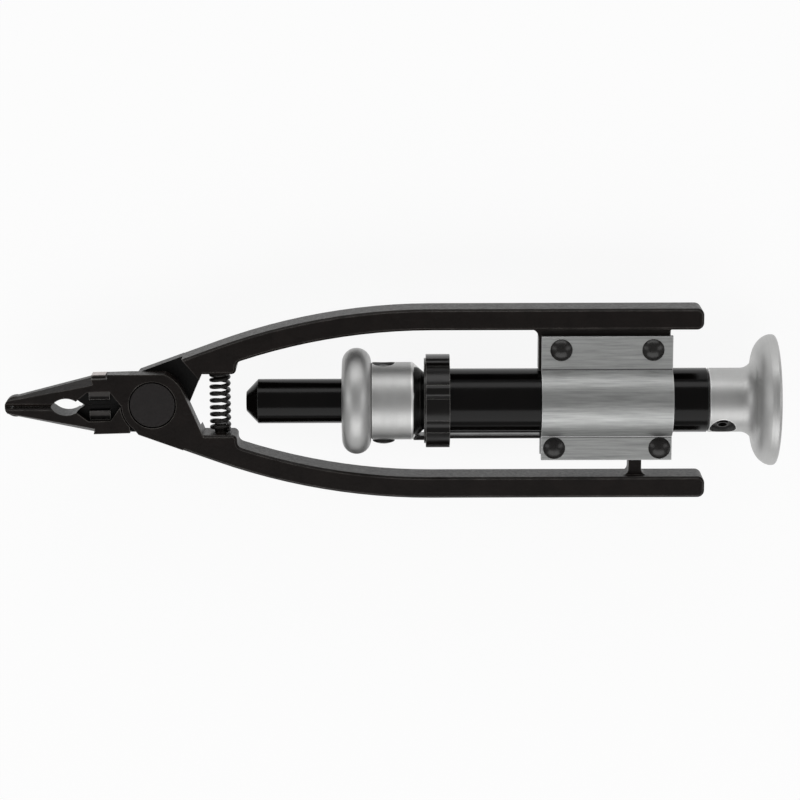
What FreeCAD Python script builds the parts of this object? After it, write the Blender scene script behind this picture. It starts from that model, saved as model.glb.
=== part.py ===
import FreeCAD, Part
import math
import os

# Safety wire pliers, in millimetres. X runs along the twister from the nose to the pull knob,
# Y runs across the two handles, and Z is up from the face that lies on the bench.
# The origin is on the axis of the twister, midway between nose and knob.

# Clearances
jaw_gap = 0.06
lap_gap = 0.06
running_fit = 0.06
press_gap = 0.01
seat_gap = 0.02

# Levers: two half-lapped forgings on one pivot
pivot_x = -68.5
lever_thickness = 11.0
boss_radius = 9.7
lap_radius = 8.9
handle_offset = 9.6
heel_reach = 0.9
heel_angle = 128.0
lap_relief = 0.35
step_distance = 15.2
handle_slope = 20.0
handle_spread = 27.85
handle_bar = 6.2
bend_end_x = 12.0
handle_end_x = 91.3
upper_handle_short = 0.9
handle_end_round = 2.0
edge_bevel = 0.6

# Spring lugs on the inside of each handle
spring_x = -49.2
lug_seat_y = 9.0
lug_left = 4.9
lug_right = 5.0
lug_fillet = 2.0
lug_fillet_share = 0.6
lug_round = 1.4
lug_round_share = 0.42
peg_radius = 1.7
peg_length = 2.6

# Jaws
jaw_length = 43.25
jaw_drop = 1.5
jaw_half_width = 8.05
jaw_taper_from = 17.3
nose_half_width = 2.95
nose_round = 4.0
nose_thickness = 5.0
thickness_taper_from = 19.0
jaw_band_half = 1.6
jaw_bevel_depth = 1.6
land_start = 12.9
land_end = 6.8
land_height = 9.0
land_draft = 1.3
grip_bevel = 0.9
grip_hole_centre = 25.0
grip_hole_length = 9.2
grip_hole_height = 5.0
grip_notch_left = 24.6
grip_notch_top = 22.5
grip_notch_right = 19.8
grip_notch_half = 1.9
wire_hole_from_tip = 2.3
wire_hole_radius = 0.4

# Side cutters: one hardened block let through each jaw
cutter_centre = 15.4
cutter_width = 6.0
cutter_tab_width = 4.1
cutter_thickness = 6.4
cutter_tab_height = 0.7
cutter_tab_inset = 0.9
cutter_bevel_height = 1.65
pocket_depth = 3.2
pocket_half_height = 4.3
pocket_half_top = 3.2
pocket_reach_left = 8.8
pocket_reach_right = 6.4

# Pivot
pivot_head_radius = 6.45
pivot_shank_radius = 4.5
pivot_head_depth = 2.4
pivot_groove = 0.4
pivot_recess = 0.05

# Spring between the handles
handle_spring_radius = 3.15
handle_spring_wire = 1.1
handle_spring_turns = 8.0

# Twister tube, and the stations along the axis that follow from it
shoulder_x = 9.9
tube_length = 82.1
tube_radius = 9.35
tube_wall = 1.35
tube_chamfer = 0.3
spigot_radius = 7.35
spigot_length = 8.85
tube_front_wall = 9.95
end_bush_length = 6.4

# Selector housing, finger flange and front guard
barrel_radius = 11.25
barrel_length = 12.1
cone_length = 3.2
barrel_corner = 0.5
barrel_chamfer = 0.4
cone_end_radius = 8.3
cavity_radius = 9.75
flange_radius = 15.4
flange_width = 8.4
flange_boss_length = 0.65
guard_radius = 6.45
guard_length = 27.7
guard_nose_radius = 2.85
guard_nose_length = 3.4
guard_bore_radius = 4.4
guard_nose_wall = 2.0

# Spiral rod, with a right-hand and a left-hand groove that cross
rod_radius = 3.2
rod_land = 1.2
groove_lead = 12.8
groove_depth = 0.8
groove_width = 1.7
groove_overrun = 1.3
groove_end_margin = 8.0
collar_radius = 5.6
collar_length = 2.0
pull_stroke = 32.0

# Nuts and selector
nut_width = 2.4
nut_rim_radius = 6.2
nut_notch_depth = 1.0
nut_notches = 6
nut_key_radius = 0.45
nut_key_reach = 0.5
nut_end_gap = 0.4
washer_thickness = 0.3
yoke_radius = 8.6
yoke_window_radius = 7.5
selector_travel = 2.0
pawl_width = 2.0
pawl_length = 1.9
pawl_engagement = 0.9
pawl_clearance = 0.25
button_radius = 3.2
button_hole_clearance = 0.1
button_proud = 1.35
button_dome = 0.8

# Return spring and the bush that it pushes
thrust_bush_length = 2.6
thrust_bush_clearance = 0.2
return_spring_radius = 5.9
return_spring_wire = 1.6
return_spring_turns = 9.0

# Pull knob
knob_length = 19.7
knob_neck_radius = 9.3
knob_neck_chamfer = 0.3
knob_neck_length = 9.65
knob_flare_length = 13.35
knob_flare_radius = 12.6
knob_shoulder_length = 16.95
knob_radius = 19.0
knob_rim_round = 1.0
knob_bore_depth = 12.4
knob_screw_x = 4.15
knob_screw_seat = 1.6
knob_screw_angle = 51.0
knob_screw_hole_radius = 3.8
knob_screw_head_radius = 3.2
knob_screw_head_length = 2.6
knob_screw_shank_radius = 1.6
knob_screw_socket = 1.3

# Bracket: two pressed halves riveted through the web of the upper handle
bracket_start_x = 43.8
bracket_length = 37.85
bracket_sheet = 1.5
web_thickness = 6.6
web_start_x = 43.0
web_end_x = 80.8
web_left_fillet = 2.6
web_right_fillet = 1.2
bracket_below_handle = 1.95
bracket_bottom_y = 16.75
bracket_bend_round = 0.3
rivet_radius = 1.5
rivet_head_radius = 3.2
rivet_head_height = 1.5
upper_rivet_edge = 4.0
upper_rivet_x = (49.5, 75.95)
lower_rivet_y = 13.2
lower_rivet_x = (47.6, 78.1)
spacer_width = 6.0

# Handle lock: a lobed ring slides a bar and its bolt into a post on the lower handle
ring_radius = 13.55
ring_length = 7.4
ring_flange_length = 0.5
ring_flange_radius = 12.4
ring_lobes = 8
ring_groove_radius = 2.6
ring_groove_depth = 1.1
latch_bar_thickness = 0.9
latch_bar_width = 4.8
latch_bar_drop = 0.5
latch_foot_y = 11.2
cone_gap = 0.1
bolt_length = 8.0
bolt_height = 4.0
bolt_nose_length = 3.4
bolt_nose_height = 1.6
bolt_nose_chamfer = 0.4
bolt_heel_chamfer = 1.0
bolt_standoff = 1.8
bolt_rivet_radius = 1.0
post_x = 69.35
post_width = 3.7
post_thickness = 6.2
post_top_y = 10.3
post_flare = 1.8
post_corner = 0.6
notch_depth = 1.7
notch_clearance = 0.15

# Stations and planes worked out from the sizes above
half_thickness = lever_thickness / 2
slope = math.radians(handle_slope)
bend_radius = (
    -pivot_x * math.sin(slope)
    + handle_offset
    + bend_end_x * math.sin(slope)
    - handle_spread * math.cos(slope)
) / (1 - math.cos(slope))
bend_centre_y = handle_spread - bend_radius
handle_inner_y = handle_spread - handle_bar
bracket_top_y = handle_inner_y - bracket_below_handle
upper_rivet_y = bracket_top_y - upper_rivet_edge
tube_end_x = shoulder_x + tube_length
spigot_x = shoulder_x - spigot_length
tube_chamber_x = spigot_x + tube_front_wall
barrel_end_x = shoulder_x - cone_length
barrel_x = barrel_end_x - barrel_length
flange_x = barrel_x - flange_width
guard_x = flange_x - guard_length
nut_stack_end_x = spigot_x - washer_thickness
left_nut_x = nut_stack_end_x - seat_gap - nut_width
right_nut_x = left_nut_x - nut_end_gap / 2 - nut_width
selector_x = (right_nut_x + nut_stack_end_x) / 2
groove_start_x = right_nut_x + nut_width / 2 - pull_stroke - groove_overrun
groove_end_x = nut_stack_end_x + groove_end_margin
rod_front_x = groove_start_x - rod_land
collar_x = tube_chamber_x + 2 * running_fit
thrust_bush_x = collar_x + collar_length + running_fit
return_spring_x = thrust_bush_x + thrust_bush_length
end_bush_x = tube_end_x - end_bush_length
knob_x = tube_end_x + running_fit
knob_end_x = knob_x + knob_length
web_half = web_thickness / 2
flange_outer_z = web_half + bracket_sheet
latch_bar_y = tube_radius + latch_bar_drop
latch_bar_bottom_y = latch_bar_y + latch_bar_thickness
ring_x = shoulder_x + running_fit
bolt_bottom_y = latch_bar_bottom_y + bolt_height
bolt_tip_x = post_x - bolt_standoff
bevel_start_x = spring_x - lug_left


def vec(x, y, z=0.0):
    return FreeCAD.Vector(x, y, z)


def outline(start, *moves):
    """A closed face in the XY plane. A move is a point, or a pair of points for an arc.
    A line that would have no length is left out."""
    edges = []
    here = start
    for move in moves:
        if isinstance(move[0], tuple):
            through, end = move
            edges.append(Part.Arc(vec(*here), vec(*through), vec(*end)).toShape())
        elif math.dist(here, move) > 1e-6:
            end = move
            edges.append(Part.makeLine(vec(*here), vec(*end)))
        here = end
    if math.dist(here, start) > 1e-6:
        edges.append(Part.makeLine(vec(*here), vec(*start)))
    return Part.Face(Part.Wire(edges))


def plate(face, z_low, z_high):
    return face.translated(vec(0, 0, z_low)).extrude(vec(0, 0, z_high - z_low))


def turned(face):
    """A solid of revolution about X, from a face of stations and radii."""
    return face.revolve(vec(0, 0), vec(1, 0), 360)


def bar_x(x_low, x_high, radius):
    return Part.makeCylinder(radius, x_high - x_low, vec(x_low, 0), vec(1, 0))


def bar_y(x, y_low, y_high, radius, z=0.0):
    return Part.makeCylinder(radius, y_high - y_low, vec(x, y_low, z), vec(0, 1))


def bar_z(x, y, z_low, z_high, radius):
    return Part.makeCylinder(radius, z_high - z_low, vec(x, y, z_low), vec(0, 0, 1))


def sleeve(x_low, x_high, outer, bore):
    return bar_x(x_low, x_high, outer).cut(bar_x(x_low, x_high, bore))


def block(x_low, x_high, y_low, y_high, z_low, z_high):
    size = (x_high - x_low, y_high - y_low, z_high - z_low)
    return Part.makeBox(*size, vec(x_low, y_low, z_low))


def mirrored(shape):
    """The same shape on the other side of the XZ plane."""
    return shape.mirror(vec(0, 0), vec(0, 1))


def polar(centre, radius, degrees):
    angle = math.radians(degrees)
    return (centre[0] + radius * math.cos(angle), centre[1] + radius * math.sin(angle))


def tangent_angle(point, centre, radius, side):
    """Angle on a circle where the line from an outside point touches it."""
    away = math.dist(point, centre)
    towards = math.degrees(math.atan2(point[1] - centre[1], point[0] - centre[0]))
    return towards + side * math.degrees(math.acos(radius / away))


def dome(base_radius, base, height):
    """The arc of a round cap that rises from a base to its tip on the axis."""
    ball = (base_radius**2 + height**2) / (2 * height)
    half_angle = math.asin(base_radius / ball) / 2
    tip = base + height
    middle = (ball * math.sin(half_angle), tip - ball + ball * math.cos(half_angle))
    return (middle, (0, tip))


def edges_where(shape, test):
    """The edges of a shape whose middle and both ends pass a test."""
    found = []
    for edge in shape.Edges:
        middle = edge.valueAt((edge.FirstParameter + edge.LastParameter) / 2)
        points = [vertex.Point for vertex in edge.Vertexes] + [middle]
        if all(test(point) for point in points):
            found.append(edge)
    return found


def coil(radius, lead, length, section):
    """A wire of the given section wound about Z, standing on the XY plane."""
    path = Part.makeHelix(lead, length, radius)
    return path.makePipeShell([section], True, True)


# Levers


def below_handle_y(x, gap=0.0):
    """Height of the upper handle's inner face, or of a line that runs a gap below it."""
    radius = bend_radius - handle_bar - gap
    start_x, start_y = polar((bend_end_x, bend_centre_y), radius, 90 + handle_slope)
    if x < start_x:
        return start_y + (x - start_x) * math.tan(slope)
    return bend_centre_y + math.sqrt(radius**2 - (bend_end_x - x) ** 2)


def handle_outline(end):
    """The upper handle with its boss, seen from above: outer face, end, inner face and lug."""
    pivot = (pivot_x, 0)
    centre = (bend_end_x, bend_centre_y)
    inner_radius = bend_radius - handle_bar
    outer_start = 90 + handle_slope
    lug_end_x = spring_x + lug_right
    lug_wall = below_handle_y(lug_end_x) - lug_seat_y
    hollow = min(lug_fillet, lug_fillet_share * lug_wall)
    rounding = min(lug_round, lug_round_share * lug_wall)
    fillet = (lug_end_x + hollow, below_handle_y(lug_end_x + hollow, hollow))
    away_x, away_y = fillet[0] - bend_end_x, fillet[1] - bend_centre_y
    inner_angle = min(outer_start, math.degrees(math.atan2(away_y, away_x)))
    lug_corner = rounding * (1 - math.sqrt(0.5))
    seat_corner = (spring_x - lug_left, lug_seat_y)
    touch = polar(pivot, handle_offset, outer_start)
    heel = polar(touch, heel_reach, 180 + handle_slope)
    heel_middle = (180 + heel_angle) / 2
    inner_touch = tangent_angle(seat_corner, pivot, boss_radius, -1)
    flat_touch = math.degrees(math.asin(-land_height / boss_radius))
    corner = handle_end_round * (1 - math.sqrt(0.5))
    outer = handle_spread
    return outline(
        heel,
        polar(centre, bend_radius, outer_start),
        (polar(centre, bend_radius, 90 + handle_slope / 2), (bend_end_x, outer)),
        (end - handle_end_round, outer),
        ((end - corner, outer - corner), (end, outer - handle_end_round)),
        (end, handle_inner_y + handle_end_round),
        ((end - corner, handle_inner_y + corner), (end - handle_end_round, handle_inner_y)),
        (bend_end_x, handle_inner_y),
        (
            polar(centre, inner_radius, (90 + inner_angle) / 2),
            polar(centre, inner_radius, inner_angle),
        ),
        polar(fillet, hollow, inner_angle),
        (polar(fillet, hollow, (180 + inner_angle) / 2), (lug_end_x, fillet[1])),
        (lug_end_x, lug_seat_y + rounding),
        ((lug_end_x - lug_corner, lug_seat_y + lug_corner), (lug_end_x - rounding, lug_seat_y)),
        seat_corner,
        polar(pivot, boss_radius, inner_touch),
        (
            polar(pivot, boss_radius, (inner_touch + flat_touch) / 2),
            polar(pivot, boss_radius, flat_touch),
        ),
        (pivot_x - land_end, -land_height),
        (pivot_x - lap_radius, 0),
        (polar(pivot, lap_radius, heel_middle), polar(pivot, lap_radius, heel_angle)),
    )


def jaw_outline():
    """The upper jaw with the pivot at the origin: split face, round nose and tapered back."""
    split = jaw_gap / 2
    return outline(
        (-land_end, split),
        (-jaw_length + 0.03 * nose_round, split),
        (
            (-jaw_length + 0.22 * nose_round, 0.62 * nose_half_width),
            (-jaw_length + nose_round, nose_half_width),
        ),
        (-jaw_taper_from, jaw_half_width),
        (-land_end, jaw_half_width),
    )


def jaw_land():
    """The flat back of the upper jaw beside the joint, drawn in as a forging is."""
    low = land_height - land_draft
    end_view = outline(
        (-half_thickness, 0),
        (half_thickness, 0),
        (half_thickness, land_height),
        (-half_thickness, low),
    )
    land = end_view.extrude(vec(0, 0, land_start - land_end))
    land.rotate(vec(0, 0), vec(0, 1), -90)
    land.translate(vec(pivot_x - land_end, 0))
    return land


def back_bevel():
    """A wedge that takes the corner off the back of the upper jaw on its +Z side."""
    run = jaw_length - nose_round - jaw_taper_from
    fall = jaw_half_width - nose_half_width
    wedge_view = outline(
        (jaw_band_half, 0),
        (half_thickness, -jaw_bevel_depth),
        (lever_thickness, -jaw_bevel_depth),
        (lever_thickness, jaw_half_width),
        (jaw_band_half, jaw_half_width),
    )
    wedge = wedge_view.extrude(vec(0, 0, math.hypot(run, fall) + nose_round))
    wedge.rotate(vec(0, 0), vec(0, 1), -90)
    wedge.rotate(vec(0, 0), vec(0, 0, 1), math.degrees(math.atan2(fall, run)))
    wedge.translate(vec(-jaw_taper_from, jaw_half_width))
    return wedge


def jaw_thickness_envelope():
    """The side view of the jaws: full at the joint and thin at the nose."""
    far = jaw_length + 1
    reach = boss_radius + 1
    drop = (lever_thickness - nose_thickness) / 2
    run = jaw_length - thickness_taper_from
    nose_half = half_thickness - drop * (far - thickness_taper_from) / run
    side_view = outline(
        (reach, -half_thickness),
        (reach, half_thickness),
        (-thickness_taper_from, half_thickness),
        (-far, nose_half),
        (-far, -nose_half),
        (-thickness_taper_from, -half_thickness),
    )
    tall = side_view.extrude(vec(0, 0, 4 * jaw_half_width))
    tall.translate(vec(0, 0, -2 * jaw_half_width))
    tall.rotate(vec(0, 0), vec(1, 0), 90)
    return tall


def pocket_outline():
    """The hollow round both cutters: a long hexagon on the split line."""
    half_top = pocket_half_top
    tall = pocket_half_height
    return outline(
        (-cutter_centre - pocket_reach_left, 0),
        (-cutter_centre - half_top, tall),
        (-cutter_centre + half_top, tall),
        (-cutter_centre + pocket_reach_right, 0),
        (-cutter_centre + half_top, -tall),
        (-cutter_centre - half_top, -tall),
    )


def grip_hole():
    """The oval hole through both jaws, where a wire or a nut is held."""
    half_long = grip_hole_length / 2
    half_high = grip_hole_height / 2
    face = outline(
        (-grip_hole_centre - half_long, 0),
        ((-grip_hole_centre, half_high), (-grip_hole_centre + half_long, 0)),
        ((-grip_hole_centre, -half_high), (-grip_hole_centre - half_long, 0)),
    )
    return plate(face, -lever_thickness, lever_thickness)


def grip_notch():
    """The pointed opening between the oval hole and the cutters."""
    face = outline(
        (-grip_notch_left, 0),
        (-grip_notch_top, grip_notch_half),
        (-grip_notch_right, 0),
        (-grip_notch_top, -grip_notch_half),
    )
    return plate(face, -lever_thickness, lever_thickness)


def jaw():
    """The upper jaw about the origin, full thickness, with its bevels, hole and pocket."""
    body = plate(jaw_outline(), -half_thickness, half_thickness)
    body = body.common(jaw_thickness_envelope())
    wedge = back_bevel()
    body = body.cut(wedge)
    body = body.cut(wedge.mirror(vec(0, 0), vec(0, 0, 1)))

    def on_grip(point):
        at_split = abs(point.y - jaw_gap / 2) < 0.001
        return at_split and point.x < 0.01 - thickness_taper_from and abs(point.z) > 1

    body = body.makeChamfer(grip_bevel, edges_where(body, on_grip))
    body = body.cut([grip_hole(), grip_notch()])
    wire_x = -jaw_length + wire_hole_from_tip
    return body.cut(bar_z(wire_x, 0, -lever_thickness, lever_thickness, wire_hole_radius))


def jaw_openings():
    """What is cut out of a jaw for its cutter: the hollows on both faces and the seat."""
    pocket = pocket_outline()
    floor_z = half_thickness - pocket_depth
    front = plate(pocket, floor_z, half_thickness + 1)
    back = plate(pocket, -half_thickness - 1, -floor_z)
    return [front, back, cutter_shape(press_gap)]


def cutter_shape(grow=0.0):
    """The upper cutter about the origin: a wedge edge, a block and a tab past the jaw's back."""
    half = cutter_thickness / 2 + grow
    edge = jaw_gap / 2
    shank_foot = pocket_half_height + grow
    end_view = outline(
        (0, edge - 4 * grow),
        (half, cutter_bevel_height - 4 * grow),
        (half, shank_foot),
        (-half, shank_foot),
        (-half, cutter_bevel_height - 4 * grow),
    )
    left = -cutter_centre - cutter_width / 2 - grow
    blade = end_view.extrude(vec(0, 0, cutter_width + 2 * grow))
    blade.rotate(vec(0, 0), vec(0, 1), 90)
    blade.translate(vec(left, 0))
    tab_left = -cutter_centre - cutter_tab_width / 2 - grow
    tab_top = jaw_half_width + cutter_tab_height + grow
    tab_half = cutter_thickness / 2 - cutter_tab_inset + grow
    tab_right = tab_left + cutter_tab_width + 2 * grow
    tab = block(tab_left, tab_right, shank_foot - 1, tab_top, -tab_half, tab_half)
    return blade.fuse(tab).removeSplitter()


def into_jaw_place(shape, side):
    """Puts something made about the origin on the upper (1) or lower (-1) jaw."""
    placed = shape if side > 0 else mirrored(shape)
    placed = placed.copy()
    placed.rotate(vec(0, 0), vec(0, 0, 1), jaw_drop)
    placed.translate(vec(pivot_x, 0))
    return placed


def beyond_step():
    """What lies past the step where the upper handle comes to its full thickness."""
    size = 3 * handle_end_x
    half_space = block(step_distance, size, -size, size, -lever_thickness, lever_thickness)
    half_space.rotate(vec(0, 0), vec(0, 0, 1), 90 - 2.5 * handle_slope)
    half_space.translate(vec(pivot_x, 0))
    return half_space


def lever(jaw_side):
    """One lever: a jaw on its side, the handle on the other and half of the joint between."""
    front = jaw_side > 0
    lap_low = lap_gap / 2 if front else -half_thickness
    lap_high = half_thickness if front else -lap_gap / 2
    profile = handle_outline(handle_end_x if front else handle_end_x - upper_handle_short)
    thick = plate(profile, -half_thickness, half_thickness)

    def on_outline(point):
        from_bend = math.dist((point.x, point.y), (bend_end_x, bend_centre_y))
        past_lug = point.x > bevel_start_x or abs(from_bend - bend_radius) < 0.001
        return abs(abs(point.z) - half_thickness) < 0.001 and past_lug

    thick = thick.makeChamfer(edge_bevel, edges_where(thick, on_outline))
    full_handle = thick.common(beyond_step())
    half_plan = plate(profile, lap_low, lap_high).cut(beyond_step())
    peg = bar_y(spring_x, lug_seat_y - peg_length, lug_seat_y + 1, peg_radius)
    land = jaw_land()
    if front:
        full_handle = mirrored(full_handle)
        half_plan = mirrored(half_plan)
        peg = mirrored(peg)
    else:
        land.rotate(vec(0, 0), vec(1, 0), 180)
    whole_jaw = into_jaw_place(jaw(), jaw_side).fuse(land)
    relief_low = -half_thickness if front else lap_high
    relief_high = lap_low if front else half_thickness
    relief = bar_z(pivot_x, 0, relief_low, relief_high, lap_radius + lap_relief)
    deep = lever_thickness
    split = block(-2 * jaw_length, 0, -jaw_half_width, jaw_gap / 2, -deep, deep)
    openings = [into_jaw_place(opening, jaw_side) for opening in jaw_openings()]
    whole_jaw = whole_jaw.cut([relief, into_jaw_place(split, jaw_side)] + openings)
    body = half_plan.fuse([full_handle, whole_jaw, peg])
    return body.removeSplitter()


def front_lever():
    """Upper jaw and lower handle, with the counterbore of the pivot and the latch post."""
    body = lever(1).fuse(latch_post()).removeSplitter()
    head_seat = half_thickness - pivot_head_depth
    body = body.cut(
        bar_z(pivot_x, 0, head_seat, lever_thickness, pivot_head_radius + pivot_groove)
    )
    shank_hole = pivot_shank_radius + press_gap
    return body.cut(bar_z(pivot_x, 0, -lever_thickness, lever_thickness, shank_hole))


def back_lever():
    """Lower jaw and upper handle, with the web that the bracket is riveted to."""
    body = lever(-1).fuse(handle_web()).removeSplitter()
    collar_seat = -half_thickness + pivot_head_depth
    body = body.cut(
        bar_z(pivot_x, 0, -lever_thickness, collar_seat, pivot_head_radius + pivot_groove)
    )
    shank_hole = pivot_shank_radius + running_fit
    return body.cut(bar_z(pivot_x, 0, -lever_thickness, lever_thickness, shank_hole))


def handle_web():
    """The thin web under the upper handle, between the two halves of the bracket."""
    foot = tube_radius + 2 * seat_gap
    top = handle_inner_y
    left = web_left_fillet
    right = web_right_fillet
    bulge = 1 - math.sqrt(0.5)
    face = outline(
        (web_start_x, foot),
        (web_end_x, foot),
        (web_end_x, top - right),
        ((web_end_x + bulge * right, top - bulge * right), (web_end_x + right, top)),
        (web_end_x + right, top + handle_bar / 2),
        (web_start_x - left, top + handle_bar / 2),
        (web_start_x - left, top),
        ((web_start_x - bulge * left, top - bulge * left), (web_start_x, top - left)),
    )
    web = plate(face, -web_half, web_half)
    for x in upper_rivet_x:
        web = web.cut(bar_z(x, upper_rivet_y, -web_half, web_half, rivet_radius + press_gap))
    return web


def latch_post():
    """The post on the lower handle, flared at its foot, with the notch that the bolt enters."""
    right = post_x + post_width
    foot = -handle_inner_y
    notch_top = -(bolt_bottom_y - bolt_nose_height) + notch_clearance
    notch_bottom = -bolt_bottom_y - notch_clearance
    flare = post_flare
    corner = post_corner
    bulge = post_flare * (1 - math.sqrt(0.5))
    face = outline(
        (post_x, foot + flare),
        (post_x, notch_bottom),
        (post_x + notch_depth, notch_bottom),
        (post_x + notch_depth, notch_top),
        (post_x, notch_top),
        (post_x, -post_top_y - corner),
        (post_x + corner, -post_top_y),
        (right - corner, -post_top_y),
        (right, -post_top_y - corner),
        (right, foot + flare),
        ((right + bulge, foot + bulge), (right + flare, foot)),
        (right + flare, foot - handle_bar / 2),
        (post_x - flare, foot - handle_bar / 2),
        (post_x - flare, foot),
        ((post_x - bulge, foot + bulge), (post_x, foot + flare)),
    )
    return plate(face, -post_thickness / 2, post_thickness / 2)


# Pivot


def pivot_pin():
    head_seat = half_thickness - pivot_head_depth
    top = half_thickness - pivot_recess
    shank = bar_z(pivot_x, 0, -half_thickness + pivot_recess, head_seat, pivot_shank_radius)
    return shank.fuse(bar_z(pivot_x, 0, head_seat, top, pivot_head_radius)).removeSplitter()


def pivot_collar():
    """The washer that the shank is riveted into, flush in the back of the joint."""
    low = -half_thickness + pivot_recess
    high = -half_thickness + pivot_head_depth - running_fit
    ring = bar_z(pivot_x, 0, low, high, pivot_head_radius)
    return ring.cut(bar_z(pivot_x, 0, low, high, pivot_shank_radius))


# Spring between the handles


def handle_spring():
    wire = handle_spring_wire / 2
    length = 2 * (lug_seat_y - seat_gap - wire)
    mean = handle_spring_radius - wire
    section = Part.makePolygon(
        [vec(mean + wire * math.cos(a), 0, wire * math.sin(a)) for a in hexagon_angles()]
    )
    spring = coil(mean, length / handle_spring_turns, length, section)
    spring = spring.copy()
    spring.rotate(vec(0, 0), vec(1, 0), -90)
    spring.translate(vec(spring_x, -length / 2))
    return spring


def hexagon_angles():
    return [math.radians(60 * step) for step in range(7)]


# Twister tube and its ends


def spindle_tube():
    inner = tube_radius - tube_wall
    rod_bore = rod_radius + running_fit
    face = outline(
        (spigot_x, rod_bore),
        (spigot_x, spigot_radius),
        (shoulder_x, spigot_radius),
        (shoulder_x, tube_radius),
        (tube_end_x - tube_chamfer, tube_radius),
        (tube_end_x, tube_radius - tube_chamfer),
        (tube_end_x, inner),
        (tube_chamber_x, inner),
        (tube_chamber_x, rod_bore),
    )
    return turned(face)


def tube_end_bush():
    outer = tube_radius - tube_wall - press_gap
    return sleeve(end_bush_x, tube_end_x, outer, rod_radius + running_fit)


def selector_housing():
    """The barrel, its cone, the chamber of the nuts and the two holes of the selector."""
    chamber_end = nut_stack_end_x + washer_thickness
    face = outline(
        (barrel_x, cavity_radius),
        (barrel_x, barrel_radius - barrel_chamfer),
        (barrel_x + barrel_chamfer, barrel_radius),
        (barrel_end_x - barrel_corner, barrel_radius),
        (
            (barrel_end_x - 0.1 * barrel_corner, barrel_radius - 0.2 * barrel_corner),
            (barrel_end_x + barrel_corner, cone_radius(barrel_end_x + barrel_corner)),
        ),
        (shoulder_x, cone_end_radius),
        (shoulder_x, spigot_radius + press_gap),
        (chamber_end, spigot_radius + press_gap),
        (chamber_end, cavity_radius),
    )
    return turned(face).cut(selector_holes())


def cone_radius(x):
    """Radius of the cone between the barrel and the tube at a station."""
    share = (x - barrel_end_x) / cone_length
    return barrel_radius + share * (cone_end_radius - barrel_radius)


def selector_holes():
    """The way of both buttons through the barrel."""
    hole = button_radius + button_hole_clearance
    return bar_y(selector_x, -flange_radius, flange_radius, hole)


def finger_flange():
    """The round bead that the fingers pull against, and the cap of the nut chamber."""
    rim = flange_width / 2
    bore = guard_radius + press_gap
    boss_end = barrel_x + flange_boss_length
    boss = cavity_radius - press_gap
    rim_centre = flange_radius - rim
    face = outline(
        (flange_x, bore),
        (flange_x, rim_centre),
        ((flange_x + rim, flange_radius), (barrel_x, rim_centre)),
        (barrel_x, boss),
        (boss_end, boss),
        (boss_end, bore),
    )
    return turned(face).cut(selector_holes())


def front_guard_tube():
    boss_end = barrel_x + flange_boss_length
    face = outline(
        (guard_x, 0),
        (guard_x, guard_nose_radius),
        (guard_x + guard_nose_length, guard_radius),
        (boss_end, guard_radius),
        (boss_end, guard_bore_radius),
        (guard_x + guard_nose_wall, guard_bore_radius),
        (guard_x + guard_nose_wall, 0),
    )
    return turned(face)


# Spiral rod, nuts and selector


def spiral_groove(left_handed, key_x):
    """A helical cut that passes the key of one nut when the rod is at rest."""
    length = groove_end_x - groove_start_x
    half = groove_width / 2
    floor = rod_radius - groove_depth
    section = Part.makePolygon(
        [
            vec(floor, 0, -half),
            vec(rod_radius + 1, 0, -half),
            vec(rod_radius + 1, 0, half),
            vec(floor, 0, half),
            vec(floor, 0, -half),
        ]
    )
    path = Part.makeHelix(groove_lead, length, rod_radius, 0, left_handed)
    cut = path.makePipeShell([section], True, True)
    cut.rotate(vec(0, 0), vec(0, 1), 90)
    turn = 360 * (key_x - groove_start_x) / groove_lead
    if left_handed:
        turn = -turn
    cut.rotate(vec(0, 0), vec(1, 0), 90 - turn)
    cut.translate(vec(groove_start_x, 0))
    return cut


def spiral_rod():
    rod = bar_x(rod_front_x, knob_x + knob_bore_depth, rod_radius)
    right = spiral_groove(False, right_nut_x + nut_width / 2)
    left = spiral_groove(True, left_nut_x + nut_width / 2)
    return rod.cut(left).cut(right)


def rod_collar():
    return sleeve(collar_x, collar_x + collar_length, collar_radius, rod_radius + press_gap)


def nut(x):
    """One nut: a notched rim and a key that stands in its groove of the rod."""
    bore = rod_radius + running_fit
    half = pawl_width / 2 + pawl_clearance
    body = sleeve(x, x + nut_width, nut_rim_radius, bore)
    for step in range(nut_notches):
        notch = block(
            x,
            x + nut_width,
            nut_rim_radius - nut_notch_depth,
            nut_rim_radius + 1,
            -half,
            half,
        )
        notch.rotate(vec(0, 0), vec(1, 0), 360 * step / nut_notches)
        body = body.cut(notch)
    middle = x + nut_width / 2
    key = bar_y(middle, bore - nut_key_reach, bore + 1, nut_key_radius)
    return body.fuse(key).removeSplitter()


def nut_washer():
    low = nut_stack_end_x
    return sleeve(low, low + washer_thickness, nut_rim_radius, rod_radius + running_fit)


def selector_yoke():
    """The ring round both nuts, with one pawl for each."""
    centre = -selector_travel / 2
    ring = sleeve(right_nut_x, nut_stack_end_x, yoke_radius, yoke_window_radius)
    ring.translate(vec(0, centre))
    root = yoke_window_radius + 0.4
    tip_engaged = nut_rim_radius - pawl_engagement
    tip_free = tip_engaged + selector_travel
    half = pawl_width / 2
    right_low = right_nut_x + (nut_width - pawl_length) / 2
    left_low = left_nut_x + (nut_width - pawl_length) / 2
    top = block(right_low, right_low + pawl_length, tip_engaged, root + centre, -half, half)
    low = block(left_low, left_low + pawl_length, centre - root, -tip_free, -half, half)
    return ring.fuse([top, low]).removeSplitter()


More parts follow.
